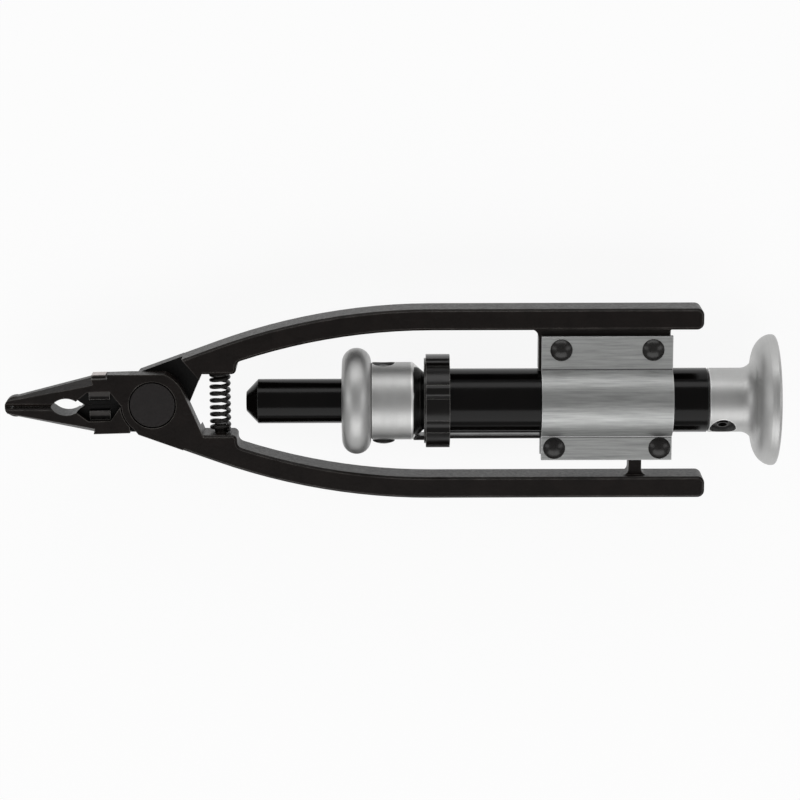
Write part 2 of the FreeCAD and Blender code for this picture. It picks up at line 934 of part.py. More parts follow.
def selector_button(side):
    """A domed stud on the yoke. The lower one stands proud while the upper one is flush."""
    centre = -selector_travel / 2
    tip = barrel_radius + button_proud
    if side > 0:
        tip -= selector_travel
    face = outline(
        (0, 0),
        (button_radius, 0),
        (button_radius, tip - button_dome),
        dome(button_radius, tip - button_dome, button_dome),
    )
    stud = face.revolve(vec(0, 0), vec(0, 1), 360)
    if side < 0:
        stud = mirrored(stud)
    stud.translate(vec(selector_x, 0))
    ring = bar_x(barrel_x, shoulder_x, yoke_radius)
    ring.translate(vec(0, centre))
    return stud.cut(ring)


# Return spring and thrust bush


def thrust_bush():
    outer = tube_radius - tube_wall - thrust_bush_clearance
    return sleeve(thrust_bush_x, return_spring_x, outer, rod_radius + running_fit)


def return_spring():
    wire = return_spring_wire / 2
    low = return_spring_x + seat_gap
    length = end_bush_x - seat_gap - low - return_spring_wire
    mean = return_spring_radius
    section = Part.makePolygon(
        [
            vec(mean - wire, 0, -wire),
            vec(mean + wire, 0, -wire),
            vec(mean + wire, 0, wire),
            vec(mean - wire, 0, wire),
            vec(mean - wire, 0, -wire),
        ]
    )
    spring = coil(mean, length / return_spring_turns, length, section).copy()
    spring.rotate(vec(0, 0), vec(0, 1), 90)
    spring.translate(vec(low + wire, 0))
    return spring


# Pull knob


def screw_direction():
    angle = math.radians(knob_screw_angle)
    return vec(0, -math.sin(angle), math.cos(angle))


def screw_cylinder(start, length, radius):
    direction = screw_direction()
    base = vec(knob_x + knob_screw_x, 0) + direction * start
    return Part.makeCylinder(radius, length, base, direction)


def pull_knob():
    """The trumpet of the knob, from its neck to the thin flat rim."""
    neck_end = knob_x + knob_neck_length
    flare = (knob_x + knob_flare_length, knob_flare_radius)
    shoulder = (knob_x + knob_shoulder_length, knob_radius - knob_rim_round * 0.3)
    flare_run = flare[0] - neck_end
    flare_rise = flare[1] - knob_neck_radius
    hollow = (neck_end + 0.62 * flare_run, knob_neck_radius + 0.28 * flare_rise)
    swell = (
        flare[0] + 0.28 * (shoulder[0] - flare[0]),
        flare[1] + 0.63 * (shoulder[1] - flare[1]),
    )
    bore = rod_radius + press_gap
    bore_end = knob_x + knob_bore_depth + seat_gap
    round_off = knob_rim_round
    face = outline(
        (knob_x, bore),
        (knob_x, knob_neck_radius - knob_neck_chamfer),
        (knob_x + knob_neck_chamfer, knob_neck_radius),
        (neck_end, knob_neck_radius),
        (hollow, flare),
        (swell, shoulder),
        (knob_x + knob_shoulder_length + round_off, knob_radius),
        (knob_end_x - round_off, knob_radius),
        (
            (knob_end_x - 0.3 * round_off, knob_radius - 0.3 * round_off),
            (knob_end_x, knob_radius - round_off),
        ),
        (knob_end_x, 0),
        (bore_end, 0),
        (bore_end, bore),
    )
    seat = rod_radius + knob_screw_seat
    hole = screw_cylinder(seat, knob_neck_radius, knob_screw_hole_radius)
    shank = screw_cylinder(0, knob_neck_radius, knob_screw_shank_radius + press_gap)
    return turned(face).cut([hole, shank])


def knob_screw():
    """The socket screw that pins the knob on the rod."""
    head_low = rod_radius + knob_screw_seat + seat_gap
    head = screw_cylinder(head_low, knob_screw_head_length, knob_screw_head_radius)
    shank = screw_cylinder(rod_radius + seat_gap, head_low, knob_screw_shank_radius)
    screw = head.fuse(shank).removeSplitter()
    socket_low = head_low + 0.4 * knob_screw_head_length
    socket = screw_cylinder(socket_low, knob_screw_head_length, knob_screw_socket)
    return screw.cut(socket)


# Bracket


def bracket_half(side):
    """One pressed half: a saddle on the tube between an upper and a lower flange."""
    inner = tube_radius + press_gap
    outer = inner + bracket_sheet
    bend = bracket_bend_round
    inner_y = math.sqrt(inner**2 - web_half**2)
    outer_y = math.sqrt(outer**2 - flange_outer_z**2)
    top = bracket_top_y
    low = -bracket_bottom_y
    end_view = outline(
        (web_half, top),
        (web_half, inner_y),
        ((inner, 0), (web_half, -inner_y)),
        (web_half, low),
        (flange_outer_z, low),
        (flange_outer_z, -outer_y - bend),
        (flange_outer_z + 0.35 * bend, -outer_y + 0.1 * bend),
        ((outer, 0), (flange_outer_z + 0.35 * bend, outer_y - 0.1 * bend)),
        (flange_outer_z, outer_y + bend),
        (flange_outer_z, top),
    )
    half = end_view.extrude(vec(0, 0, bracket_length))
    half.rotate(vec(0, 0), vec(0, 1), -90)
    half.translate(vec(bracket_start_x + bracket_length, 0))
    if side < 0:
        half = half.mirror(vec(0, 0), vec(0, 0, 1))
    for x, y in rivet_places():
        hole = bar_z(x, y, -tube_radius * 2, tube_radius * 2, rivet_radius + press_gap)
        half = half.cut(hole)
    return half


def rivet_places():
    upper = [(x, upper_rivet_y) for x in upper_rivet_x]
    lower = [(x, -lower_rivet_y) for x in lower_rivet_x]
    return upper + lower


def rivet(x, y):
    """A rivet with a low dome on each side of the bracket."""
    seat = flange_outer_z + press_gap
    wide = rivet_head_radius
    profile = outline(
        (0, 0),
        (rivet_radius, 0),
        (rivet_radius, seat),
        (wide, seat),
        dome(wide, seat, rivet_head_height),
    )
    upper = profile.revolve(vec(0, 0), vec(0, 1), 360)
    body = upper.fuse(mirrored(upper)).removeSplitter()
    body.rotate(vec(0, 0), vec(1, 0), 90)
    body.translate(vec(x, y))
    return body


def bracket_rivets():
    return Part.makeCompound([rivet(x, y) for x, y in rivet_places()])


def flange_spacers():
    """Two distance pieces between the lower flanges, clear of the sliding bar above them."""
    top = -latch_bar_bottom_y - running_fit
    half = spacer_width / 2
    spacers = []
    for x in lower_rivet_x:
        body = block(x - half, x + half, -bracket_bottom_y, top, -web_half, web_half)
        hole = bar_z(x, -lower_rivet_y, -web_half, web_half, rivet_radius + press_gap)
        spacers.append(body.cut(hole))
    return Part.makeCompound(spacers)


# Handle lock


def lock_ring():
    """The lobed ring that slides on the tube, slotted underneath for the bar."""
    bore = tube_radius + running_fit
    flange_end = ring_x + ring_flange_length
    body = sleeve(flange_end, ring_x + ring_length, ring_radius, bore)
    for step in range(ring_lobes):
        angle = 360 * (step + 0.5) / ring_lobes
        y, z = polar((0, 0), ring_radius + ring_groove_radius - ring_groove_depth, angle)
        groove = bar_x(flange_end, ring_x + ring_length, ring_groove_radius)
        groove.translate(vec(0, y, z))
        body = body.cut(groove)
    flange = sleeve(ring_x, flange_end, ring_flange_radius, bore)
    half = latch_bar_width / 2 + press_gap
    slot = block(
        ring_x,
        ring_x + ring_length,
        -latch_bar_bottom_y - press_gap,
        -latch_bar_y + press_gap,
        -half,
        half,
    )
    return body.fuse(flange).removeSplitter().cut(slot)


def latch_bar():
    """The flat bar under the tube, with a foot under the cone in front of the ring."""
    fall = (barrel_radius - cone_end_radius) / cone_length
    tip_x = barrel_end_x + (barrel_radius + cone_gap - latch_foot_y) / fall
    top_x = barrel_end_x + (barrel_radius + cone_gap - latch_bar_y) / fall
    bolt_x = bolt_tip_x - bolt_nose_length
    face = outline(
        (tip_x, -latch_foot_y),
        (top_x, -latch_bar_y),
        (bolt_x, -latch_bar_y),
        (bolt_x, -latch_bar_bottom_y),
        (ring_x - seat_gap, -latch_bar_bottom_y),
        (ring_x - seat_gap, -latch_foot_y),
    )
    bar = plate(face, -latch_bar_width / 2, latch_bar_width / 2)
    hole = bar_y(bolt_rivet_x(), -latch_bar_bottom_y, -latch_bar_y, bolt_rivet_radius)
    return bar.cut(hole)


def bolt_rivet_x():
    return bolt_tip_x - bolt_nose_length - bolt_length / 2


def latch_bolt():
    """The bolt under the end of the bar, with the nose that locks the post."""
    low = -bolt_bottom_y
    top = -latch_bar_bottom_y - seat_gap
    nose_x = bolt_tip_x - bolt_nose_length
    back_x = nose_x - bolt_length
    nose_top = low + bolt_nose_height
    nose = bolt_nose_chamfer
    heel = bolt_heel_chamfer
    face = outline(
        (back_x + heel, low),
        (bolt_tip_x - nose, low),
        (bolt_tip_x, low + nose),
        (bolt_tip_x, nose_top - nose),
        (bolt_tip_x - nose, nose_top),
        (nose_x, nose_top),
        (nose_x, top),
        (back_x, top),
        (back_x, low + heel),
    )
    body = plate(face, -latch_bar_width / 2, latch_bar_width / 2)
    stud_x = bolt_rivet_x()
    stud = bar_y(stud_x, top - 0.5, -latch_bar_y, bolt_rivet_radius - press_gap)
    return body.fuse(stud).removeSplitter()


def save_nodes():
    nodes = {
        "front_lever": front_lever(),
        "back_lever": back_lever(),
        "upper_cutter": into_jaw_place(cutter_shape(), 1),
        "lower_cutter": into_jaw_place(cutter_shape(), -1),
        "pivot_pin": pivot_pin(),
        "pivot_collar": pivot_collar(),
        "handle_spring": handle_spring(),
        "spindle_tube": spindle_tube(),
        "tube_end_bush": tube_end_bush(),
        "selector_housing": selector_housing(),
        "finger_flange": finger_flange(),
        "front_guard_tube": front_guard_tube(),
        "spiral_rod": spiral_rod(),
        "rod_collar": rod_collar(),
        "right_hand_nut": nut(right_nut_x),
        "left_hand_nut": nut(left_nut_x),
        "nut_washer": nut_washer(),
        "selector_yoke": selector_yoke(),
        "selector_button_upper": selector_button(1),
        "selector_button_lower": selector_button(-1),
        "thrust_bush": thrust_bush(),
        "return_spring": return_spring(),
        "pull_knob": pull_knob(),
        "knob_screw": knob_screw(),
        "bracket_front": bracket_half(1),
        "bracket_rear": bracket_half(-1),
        "bracket_rivets": bracket_rivets(),
        "flange_spacers": flange_spacers(),
        "lock_ring": lock_ring(),
        "latch_bar": latch_bar(),
        "latch_bolt": latch_bolt(),
    }
    os.makedirs("parts", exist_ok=True)
    for name, shape in nodes.items():
        shape.exportStep("parts/" + name + ".step")
        print(name, "solids", len(shape.Solids), "valid", shape.isValid())


save_nodes()
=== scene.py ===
import math

import bpy
from mathutils import Matrix, Vector


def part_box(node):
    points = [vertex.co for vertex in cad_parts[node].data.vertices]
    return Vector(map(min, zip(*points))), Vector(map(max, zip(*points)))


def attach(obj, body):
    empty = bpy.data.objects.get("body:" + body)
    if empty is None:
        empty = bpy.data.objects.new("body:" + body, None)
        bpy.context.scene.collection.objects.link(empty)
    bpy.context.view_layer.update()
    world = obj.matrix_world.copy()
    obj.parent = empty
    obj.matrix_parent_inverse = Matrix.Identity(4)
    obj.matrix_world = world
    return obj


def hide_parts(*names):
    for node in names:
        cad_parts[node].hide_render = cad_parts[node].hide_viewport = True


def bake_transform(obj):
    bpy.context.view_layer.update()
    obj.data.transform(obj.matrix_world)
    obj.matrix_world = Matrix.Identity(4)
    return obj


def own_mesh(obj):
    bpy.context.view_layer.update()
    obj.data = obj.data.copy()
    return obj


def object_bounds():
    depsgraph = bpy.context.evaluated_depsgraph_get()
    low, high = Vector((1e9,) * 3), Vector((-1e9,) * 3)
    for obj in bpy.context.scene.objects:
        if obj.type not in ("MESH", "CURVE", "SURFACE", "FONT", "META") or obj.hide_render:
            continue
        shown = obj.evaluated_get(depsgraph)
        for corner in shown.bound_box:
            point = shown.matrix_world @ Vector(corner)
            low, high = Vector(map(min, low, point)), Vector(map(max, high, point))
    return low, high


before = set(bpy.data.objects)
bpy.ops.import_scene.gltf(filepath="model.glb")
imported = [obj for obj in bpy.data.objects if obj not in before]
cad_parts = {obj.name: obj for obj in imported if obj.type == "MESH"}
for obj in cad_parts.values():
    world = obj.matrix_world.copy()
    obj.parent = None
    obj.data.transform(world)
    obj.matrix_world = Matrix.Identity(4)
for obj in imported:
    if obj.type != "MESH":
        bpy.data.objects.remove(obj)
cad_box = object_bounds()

scene = bpy.context.scene
scene.view_settings.view_transform = "Standard"

# The table: a large sheet of matt white board with the pliers lying flat on it.
# Its surface lies at the lowest point of the knob's rim.
TABLE_SIZE = 6.0
TABLE_WHITE = (0.93, 0.93, 0.93, 1)
TABLE_GLOW = 0.9

half = TABLE_SIZE / 2
table_z = cad_box[0][2]
corners = [(-half, -half), (half, -half), (half, half), (-half, half)]
table_mesh = bpy.data.meshes.new("table_board")
table_mesh.from_pydata([(x, y, table_z) for x, y in corners], [], [(0, 1, 2, 3)])
table_board = bpy.data.objects.new("table_board", table_mesh)
scene.collection.objects.link(table_board)

board_paint = bpy.data.materials.new("matt_white_board")
board_paint.use_nodes = True
nodes = board_paint.node_tree.nodes
links = board_paint.node_tree.links
nodes.clear()
board_matt = nodes.new("ShaderNodeBsdfDiffuse")
board_matt.inputs["Color"].default_value = TABLE_WHITE
board_glow = nodes.new("ShaderNodeEmission")
board_glow.inputs["Color"].default_value = (1, 1, 1, 1)
board_glow.inputs["Strength"].default_value = 1.0
rays = nodes.new("ShaderNodeLightPath")
seen = nodes.new("ShaderNodeMath")
seen.operation = "MAXIMUM"
links.new(rays.outputs["Is Camera Ray"], seen.inputs[0])
links.new(rays.outputs["Is Glossy Ray"], seen.inputs[1])
share = nodes.new("ShaderNodeMath")
share.operation = "MULTIPLY"
share.inputs[1].default_value = TABLE_GLOW
links.new(seen.outputs[0], share.inputs[0])
blend = nodes.new("ShaderNodeMixShader")
links.new(share.outputs[0], blend.inputs[0])
links.new(board_matt.outputs[0], blend.inputs[1])
links.new(board_glow.outputs[0], blend.inputs[2])
out = nodes.new("ShaderNodeOutputMaterial")
links.new(blend.outputs[0], out.inputs["Surface"])
table_mesh.materials.append(board_paint)


# The camera: on a stand above the table, with a long lens.
# It leans a little towards the upper handle, so the handles' narrow faces show.
CAMERA_DISTANCE = 0.828
CAMERA_LEAN = math.radians(12)
CAMERA_ROLL = math.radians(-0.17)
CAMERA_LENS = 128.3
CAMERA_SENSOR = 36
CAMERA_AIM_X = 0.003
CAMERA_AIM_RISE = 0.0002

camera_data = bpy.data.cameras.new("photo_camera")
camera_data.lens = CAMERA_LENS
camera_data.sensor_width = CAMERA_SENSOR
camera_data.clip_start = 0.01
camera = bpy.data.objects.new("photo_camera", camera_data)
scene.collection.objects.link(camera)
camera_up = Vector((0, math.cos(CAMERA_LEAN), -math.sin(CAMERA_LEAN)))
camera_aim = Vector((CAMERA_AIM_X, 0, 0)) + camera_up * CAMERA_AIM_RISE
camera_way = Vector((0, math.sin(CAMERA_LEAN), math.cos(CAMERA_LEAN)))
camera.location = camera_aim + camera_way * CAMERA_DISTANCE
lean_turn = Matrix.Rotation(-CAMERA_LEAN, 3, "X")
roll_turn = Matrix.Rotation(CAMERA_ROLL, 3, "Z")
camera.rotation_euler = (lean_turn @ roll_turn).to_euler()
scene.camera = camera


# The lamps: a low strip beyond the upper handle, a wide soft box on the near side
# and a weak box at each end. They stand clear of the camera, so round bars show
# a narrow bright band and a wide one.
ROOM_LIGHT = 0.3


def soft_box(name, place, width, length, watts):
    lamp_data = bpy.data.lights.new(name, "AREA")
    lamp_data.shape = "RECTANGLE"
    lamp_data.size = width
    lamp_data.size_y = length
    lamp_data.energy = watts
    lamp = bpy.data.objects.new(name, lamp_data)
    scene.collection.objects.link(lamp)
    lamp.location = place
    to_middle = -Vector(place)
    lamp.rotation_euler = to_middle.to_track_quat("-Z", "Y").to_euler()


soft_box("lamp_strip", (0, 1.1, 0.42), 1.8, 0.4, 5)
soft_box("lamp_wide", (0, -0.8, 0.75), 1.8, 0.9, 8)
soft_box("lamp_right", (1.1, 0.2, 0.7), 0.5, 0.9, 2)
soft_box("lamp_left", (-1.1, 0.2, 0.7), 0.5, 0.9, 2)

room = bpy.data.worlds.new("pale_room")
scene.world = room
room.use_nodes = True
room_light = room.node_tree.nodes["Background"]
room_light.inputs["Color"].default_value = (1, 1, 1, 1)
room_light.inputs["Strength"].default_value = ROOM_LIGHT


# The two levers: drop forgings of tool steel with a black oxide finish.
# The forged skin is a little rough. Its edges are lighter, partly where handling has worn them bare
# and partly as painted highlight, and painted shade darkens the lap faces and the hollows round the
# cutters.
# Each is one piece from the nose of its jaw to the end of its handle.
OXIDE_DEEP = (0.0042, 0.0026, 0.0020)
OXIDE_THIN = (0.0076, 0.0052, 0.0043)
# Painted shade for the lap faces and the hollows round the cutters.
RECESS_PAINTED_SHADE = (0.0012, 0.0010, 0.0009)
RUBBED_SCALE = (0.026, 0.024, 0.023)
# Lighter edge colour: partly bare wear, partly painted highlight.
WORN_STEEL_AND_EDGE_HIGHLIGHT = (0.105, 0.097, 0.090)
JAW_PIVOT_X = -0.0685
JAW_TILT = math.tan(math.radians(1.5))
TEETH_END_X = -0.0985
TOOTH_PITCH = 0.0008
TOOTH_RISE = 5.0
POCKET_START_X = -0.094
POCKET_END_X = -0.0745
POCKET_HALF_WIDTH = 0.0048
POCKET_FLOOR_Z = 0.0040
HANDLE_START_X = -0.060


def new_finish(name):
    finish = bpy.data.materials.new(name)
    finish.use_nodes = True
    finish.node_tree.nodes.clear()
    return finish, finish.node_tree.nodes, finish.node_tree.links


def put_math(nodes, links, operation, first, second=0.0, clamp=False):
    node = nodes.new("ShaderNodeMath")
    node.operation = operation
    node.use_clamp = clamp
    for socket, value in zip(node.inputs, (first, second)):
        if isinstance(value, (int, float)):
            socket.default_value = value
        else:
            links.new(value, socket)
    return node.outputs[0]


def put_noise(nodes, links, place, scale, detail=4.0, stretch=(1, 1, 1), roughness=0.55):
    mapping = nodes.new("ShaderNodeMapping")
    mapping.inputs["Scale"].default_value = stretch
    links.new(place, mapping.inputs["Vector"])
    noise = nodes.new("ShaderNodeTexNoise")
    noise.inputs["Scale"].default_value = scale
    noise.inputs["Detail"].default_value = detail
    noise.inputs["Roughness"].default_value = roughness
    links.new(mapping.outputs[0], noise.inputs["Vector"])
    return noise.outputs["Fac"]


def put_ramp(nodes, links, value, stops):
    ramp = nodes.new("ShaderNodeValToRGB")
    bar = ramp.color_ramp
    while len(bar.elements) < len(stops):
        bar.elements.new(0.5)
    for element, (place, colour) in zip(bar.elements, stops):
        element.position = place
        element.color = (*colour, 1)
    links.new(value, ramp.inputs["Fac"])
    return ramp.outputs["Color"]


def put_range(nodes, links, value, low_in, high_in, low_out, high_out):
    spread = nodes.new("ShaderNodeMapRange")
    for name, number in (
        ("From Min", low_in), ("From Max", high_in), ("To Min", low_out), ("To Max", high_out)
    ):
        spread.inputs[name].default_value = number
    links.new(value, spread.inputs["Value"])
    return spread.outputs["Result"]


def put_under(nodes, links, value, limit, soft):
    """1 where the value lies under a limit, and 0 where it passes the limit's soft end."""
    return put_range(nodes, links, value, limit + soft, limit, 0.0, 1.0)


def put_within(nodes, links, value, low, high, soft):
    """1 where the value lies between two limits, with soft ends."""
    rising = put_range(nodes, links, value, low - soft, low, 0.0, 1.0)
    falling = put_under(nodes, links, value, high, soft)
    return put_math(nodes, links, "MULTIPLY", rising, falling)


def put_apart(nodes, links, value):
    """The three parts of a position or a direction."""
    apart = nodes.new("ShaderNodeSeparateXYZ")
    links.new(value, apart.inputs[0])
    return apart.outputs["X"], apart.outputs["Y"], apart.outputs["Z"]


def put_mix(nodes, links, share, first, second):
    mix = nodes.new("ShaderNodeMix")
    mix.data_type = "RGBA"
    links.new(share, mix.inputs["Factor"])
    for socket, value in ((mix.inputs[6], first), (mix.inputs[7], second)):
        if isinstance(value, tuple):
            socket.default_value = (*value, 1)
        else:
            links.new(value, socket)
    return mix.outputs[2]


def edge_wear_and_highlight(nodes, links, reach):
    """1 along the sharp edges, as far in as the given reach: the mask for edge wear and painted edge
    highlights.
    """
    rounded = nodes.new("ShaderNodeBevel")
    rounded.samples = 4
    rounded.inputs["Radius"].default_value = reach
    flat = nodes.new("ShaderNodeNewGeometry")
    turn = nodes.new("ShaderNodeVectorMath")
    turn.operation = "DOT_PRODUCT"
    links.new(rounded.outputs[0], turn.inputs[0])
    links.new(flat.outputs["Normal"], turn.inputs[1])
    return put_range(nodes, links, turn.outputs["Value"], 0.985, 0.90, 0.0, 1.0)


def close_finish(nodes, links, colour, rough, height, bump_depth, metal, gloss=0.5):
    skin = nodes.new("ShaderNodeBsdfPrincipled")
    skin.inputs["Metallic"].default_value = metal
    skin.inputs["Specular IOR Level"].default_value = gloss
    links.new(colour, skin.inputs["Base Color"])
    links.new(rough, skin.inputs["Roughness"])
    bump = nodes.new("ShaderNodeBump")
    bump.inputs["Strength"].default_value = 1.0
    bump.inputs["Distance"].default_value = bump_depth
    links.new(height, bump.inputs["Height"])
    links.new(bump.outputs[0], skin.inputs["Normal"])
    out = nodes.new("ShaderNodeOutputMaterial")
    links.new(skin.outputs[0], out.inputs["Surface"])


def dress(finish, *names):
    for name in names:
        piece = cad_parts[name]
        if not piece.material_slots:
            piece.data.materials.append(finish)
        for place in piece.material_slots:
            place.material = finish


def forged_scale(nodes, links, place, along, upright):
    """The narrow faces keep the scale of the forging: how far it is rubbed, and its pits."""
    scale = put_under(nodes, links, upright, 0.5, 0.35)
    pits = put_noise(nodes, links, place, 900, 5)
    high_spots = put_range(nodes, links, pits, 0.45, 0.7, 0.0, 1.0)
    rubbed = put_math(nodes, links, "MULTIPLY", high_spots, scale)
    on_handle = put_range(nodes, links, along, HANDLE_START_X - 0.006, HANDLE_START_X, 0.25, 1.0)
    rubbed = put_math(nodes, links, "MULTIPLY", rubbed, on_handle)
    pitted = put_math(nodes, links, "MULTIPLY", put_math(nodes, links, "MULTIPLY", pits, scale), 2.0)
    return rubbed, pitted


def painted_recess_shade(nodes, links, along, across, up, upright):
    """Painted shade: the lap faces and the hollows round the cutters are darkened where shadow
    falls.
    """
    depth = put_math(nodes, links, "ABSOLUTE", up)
    beside = put_math(nodes, links, "ABSOLUTE", across)
    lap = put_math(nodes, links, "MULTIPLY", put_under(nodes, links, depth, 0.0002, 0.0003), upright)
    hollow = put_within(nodes, links, along, POCKET_START_X, POCKET_END_X, 0.0002)
    for value, limit, soft in (
        (depth, POCKET_FLOOR_Z, 0.0006),
        (beside, POCKET_HALF_WIDTH, 0.0004),
    ):
        within = put_under(nodes, links, value, limit, soft)
        hollow = put_math(nodes, links, "MULTIPLY", hollow, within)
    return put_math(nodes, links, "MAXIMUM", hollow, lap)


def gripping_teeth(nodes, links, along, across):
    """Fine teeth run across the gripping faces between the nose and the oval hole."""
    from_pivot = put_math(nodes, links, "SUBTRACT", along, JAW_PIVOT_X)
    split = put_math(nodes, links, "MULTIPLY", from_pivot, JAW_TILT)
    off_split = put_math(nodes, links, "ABSOLUTE", put_math(nodes, links, "SUBTRACT", across, split))
    gripping = put_under(nodes, links, off_split, 0.0002, 0.0001)
    ahead = put_under(nodes, links, along, TEETH_END_X, 0.0003)
    face = put_math(nodes, links, "MULTIPLY", gripping, ahead)
    turns = put_math(nodes, links, "MULTIPLY", along, 2 * math.pi / TOOTH_PITCH)
    wave = put_math(nodes, links, "SINE", turns)
    raised = put_math(nodes, links, "MULTIPLY", wave, TOOTH_RISE)
    return put_math(nodes, links, "MULTIPLY", raised, face)


def blackened_forging():
    finish, nodes, links = new_finish("blackened_forging")
    coords = nodes.new("ShaderNodeTexCoord")
    place = coords.outputs["Object"]
    along, across, up = put_apart(nodes, links, place)
    faces_up = put_apart(nodes, links, coords.outputs["Normal"])[2]
    upright = put_math(nodes, links, "ABSOLUTE", faces_up)
    skin = put_noise(nodes, links, place, 1100, 6)
    blotch = put_noise(nodes, links, place, 170, 5)
    broken = put_range(nodes, links, blotch, 0.36, 0.62, 0.3, 1.0)
    edge_wear_and_glint = put_math(nodes, links, "MULTIPLY", edge_wear_and_highlight(nodes, links, 0.00045), broken, True)
    rubbed, pitted = forged_scale(nodes, links, place, along, upright)
    recess_shade_mask = painted_recess_shade(nodes, links, along, across, up, upright)
    teeth = gripping_teeth(nodes, links, along, across)
    height = put_math(nodes, links, "ADD", put_math(nodes, links, "ADD", skin, pitted), teeth)
    base = put_ramp(nodes, links, blotch, [(0.35, OXIDE_DEEP), (0.7, OXIDE_THIN)])
    scaled = put_mix(nodes, links, rubbed, base, RUBBED_SCALE)
    # The edges are lightened: partly bare wear, partly painted highlight.
    worn_and_highlit = put_mix(nodes, links, edge_wear_and_glint, scaled, WORN_STEEL_AND_EDGE_HIGHLIGHT)
    # Painted shade: the lap faces and the hollows round the cutters are darkened.
    colour = put_mix(nodes, links, recess_shade_mask, worn_and_highlit, RECESS_PAINTED_SHADE)
    rough = put_range(nodes, links, skin, 0.3, 0.7, 0.32, 0.46)
    close_finish(nodes, links, colour, rough, height, 0.00004, 0.0, 0.17)
    return finish


dress(blackened_forging(), "front_lever", "back_lever")


# The cutting blades: hard steel blocks let into the jaws, ground flat.
# Grinding leaves fine straight scratches across each block and a bright band
# behind the edge. The tab on the back of the jaw is bare.
BLADE_DARK = (0.007, 0.0064, 0.006)
BLADE_LIGHT = (0.014, 0.013, 0.0125)
BLADE_BAND = (0.085, 0.080, 0.077)
BLADE_EDGE = (0.26, 0.25, 0.24)
BARE_TAB = (0.48, 0.43, 0.41)
BAND_LOW_Y = 0.0024
BAND_HIGH_Y = 0.0033
TAB_FOOT_Y = 0.0079


def ground_blade_steel():
    finish, nodes, links = new_finish("ground_blade_steel")
    place = nodes.new("ShaderNodeTexCoord").outputs["Object"]
    beside = put_math(nodes, links, "ABSOLUTE", put_apart(nodes, links, place)[1])
    scratch = put_noise(nodes, links, place, 1400, 3, (1, 0.06, 0.06))
    base = put_ramp(nodes, links, scratch, [(0.3, BLADE_DARK), (0.7, BLADE_LIGHT)])
    polished = put_within(nodes, links, beside, BAND_LOW_Y, BAND_HIGH_Y, 0.0004)
    banded = put_mix(nodes, links, polished, base, BLADE_BAND)
    bare = put_range(nodes, links, beside, TAB_FOOT_Y, TAB_FOOT_Y + 0.0002, 0.0, 1.0)
    tipped = put_mix(nodes, links, bare, banded, BARE_TAB)
    colour = put_mix(nodes, links, edge_wear_and_highlight(nodes, links, 0.0003), tipped, BLADE_EDGE)
    rough = put_range(nodes, links, scratch, 0.3, 0.7, 0.28, 0.42)
    close_finish(nodes, links, colour, rough, scratch, 0.00002, 0.8)
    return finish


dress(ground_blade_steel(), "upper_cutter", "lower_cutter")


# The joint: a turned pin through both lap discs with a collar on its back end.
# The cut leaves a fine grain, and oil keeps the steel dark.
def fine_metal(
    name,
    scale,
    dark,
    light,
    rough_low,
    rough_high,
    bump_depth,
    metal,
    gloss=0.5,
    detail=3,
    stretch=(1, 1, 1),
    light_at=0.75,
):
    """A metal with one fine grain, which sets its colour, its roughness and its bumps."""
    finish, nodes, links = new_finish(name)
    place = nodes.new("ShaderNodeTexCoord").outputs["Object"]
    grain = put_noise(nodes, links, place, scale, detail, stretch)
    colour = put_ramp(nodes, links, grain, [(0.3, dark), (light_at, light)])
    rough = put_range(nodes, links, grain, 0.3, 0.7, rough_low, rough_high)
    close_finish(nodes, links, colour, rough, grain, bump_depth, metal, gloss)
    return finish


turned_pin_steel = fine_metal(
    "turned_pin_steel",
    scale=1800,
    dark=(0.0085, 0.0068, 0.0066),
    light=(0.0125, 0.0102, 0.0100),
    rough_low=0.32,
    rough_high=0.46,
    bump_depth=0.000006,
    metal=0.0,
    gloss=0.3,
    light_at=0.7,
)
dress(turned_pin_steel, "pivot_pin", "pivot_collar")


# The handle spring: black spring wire wound in a close coil.
# It stands between the lugs behind the joint and pushes the handles apart.
HANDLE_WIRE = 0.0006
HANDLE_TURNS = 9


def wire_path(start, end, coil, wire, turns, flat_turns, steps):
    """The middle of the wire, with the way out from the coil's axis at each place."""
    start = Vector(start)
    axis = Vector(end) - start
    length = axis.length
    axis.normalize()
    across = axis.orthogonal().normalized()
    beside = axis.cross(across)
    inner = turns - 2 * flat_turns
    open_rise = length - 2 * wire - 4 * wire * flat_turns
    path = []
    for i in range(turns * steps + 1):
        turn = i / steps
        free = min(max(turn - flat_turns, 0), inner)
        rise = wire + 2 * wire * (turn - free) + open_rise * free / inner
        angle = 2 * math.pi * turn
        away = across * math.cos(angle) + beside * math.sin(angle)
        path.append((start + axis * rise + away * (coil - wire), away))
    return path


def wound_wire(name, start, end, coil, wire, turns, flat_turns, steps, sides):
    """A coil spring of round wire, with a flat turn at each end."""
    path = wire_path(start, end, coil, wire, turns, flat_turns, steps)
    last = len(path) - 1
    points = []
    for i, (centre, away) in enumerate(path):
        before = path[max(i - 1, 0)][0]
        after = path[min(i + 1, last)][0]
        along = (after - before).normalized()
        side = along.cross(away).normalized()
        for k in range(sides):
            angle = 2 * math.pi * k / sides
            points.append(centre + (away * math.cos(angle) + side * math.sin(angle)) * wire)
    faces = []
    for i in range(last):
        for k in range(sides):
            a = i * sides + k
            b = i * sides + (k + 1) % sides
            faces.append((a, b, b + sides, a + sides))
    faces.append(tuple(reversed(range(sides))))
    faces.append(tuple(range(last * sides, last * sides + sides)))
    mesh = bpy.data.meshes.new(name)
    mesh.from_pydata(points, [], faces)
    mesh.update()
    for face in mesh.polygons:
        face.use_smooth = len(face.vertices) == 4
    piece = bpy.data.objects.new(name, mesh)
    scene.collection.objects.link(piece)
    return piece


